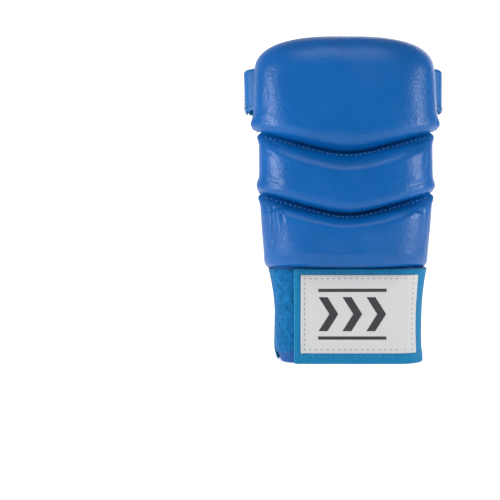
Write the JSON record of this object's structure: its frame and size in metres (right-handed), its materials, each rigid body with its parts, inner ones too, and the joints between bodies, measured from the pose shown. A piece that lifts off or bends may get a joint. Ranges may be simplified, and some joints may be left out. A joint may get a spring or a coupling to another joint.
{
  "type": "grappling glove",
  "caption": "Open-palm padded grappling glove for a left hand, with elastic finger loops, a palm strap and a wrist cuff closed by a hook-and-loop flap.",
  "frame": {"origin": "centre of the wrist opening, at the height of the cuff's lower edge", "axes": "+Z from the wrist to the fingertips, -Y out of the padded back of the hand, +X to the thumb side"},
  "size_m": [0.1492, 0.0703, 0.243],
  "materials": {
    "pad_leather": "satin",
    "tab_leather": "satin",
    "facing_leather": "satin",
    "cuff_leather": "matte",
    "foam": "matte",
    "suede": "matte",
    "piping": "satin",
    "elastic": "matte",
    "loop_velour": "matte",
    "hook_plastic": "matte",
    "label_weave": "matte",
    "label_print": "matte",
    "thread": "matte"
  },
  "bodies": {
    "hand_section": {"hand_pad_cover": "pad_leather", "hand_pad_foam": "foam", "hand_lining": "suede", "wrist_panel": "cuff_leather", "loop_tape": "loop_velour", "palm_band": "elastic", "band_lining": "cuff_leather", "band_stitches": "thread", "hand_seam_stitches": "thread"},
    "knuckle_section": {"knuckle_pad_cover": "pad_leather", "knuckle_pad_foam": "foam", "knuckle_lining": "suede", "palm_strap": "elastic", "palm_tab_thumb_side": "tab_leather", "palm_tab_little_side": "tab_leather", "palm_tab_stitches": "thread", "knuckle_seam_stitches": "thread"},
    "finger_section": {"finger_pad_cover": "pad_leather", "finger_pad_foam": "foam", "finger_lining": "suede", "finger_facing": "facing_leather", "finger_piping": "piping", "finger_loop_elastic": "elastic", "loop_tab_index": "tab_leather", "loop_tab_little": "tab_leather", "loop_tab_stitches": "thread", "loop_bar_tacks": "thread"},
    "closing_flap": {"flap_elastic": "elastic", "hook_tape": "hook_plastic", "label_patch": "label_weave", "label_print": "label_print", "label_stitches": "thread", "flap_hem_stitches": "thread"}
  },
  "joints": [
    {"name": "knuckle_flex", "type": "hinge", "parent": "hand_section", "child": "knuckle_section", "pos_m": [0, -0.003, 0.118], "axis": [-1, 0, 0], "range_deg": [0, 20], "stiffness_Nm_per_rad": 0.3},
    {"name": "finger_flex", "type": "hinge", "parent": "knuckle_section", "child": "finger_section", "pos_m": [0, 0.001, 0.165], "axis": [-1, 0, 0], "range_deg": [0, 30], "stiffness_Nm_per_rad": 0.25},
    {"name": "flap_peel", "type": "hinge", "parent": "hand_section", "child": "closing_flap", "pos_m": [0.057, -0.004, 0.035], "axis": [0, 0, 1], "range_deg": [0, 150]}
  ]
}
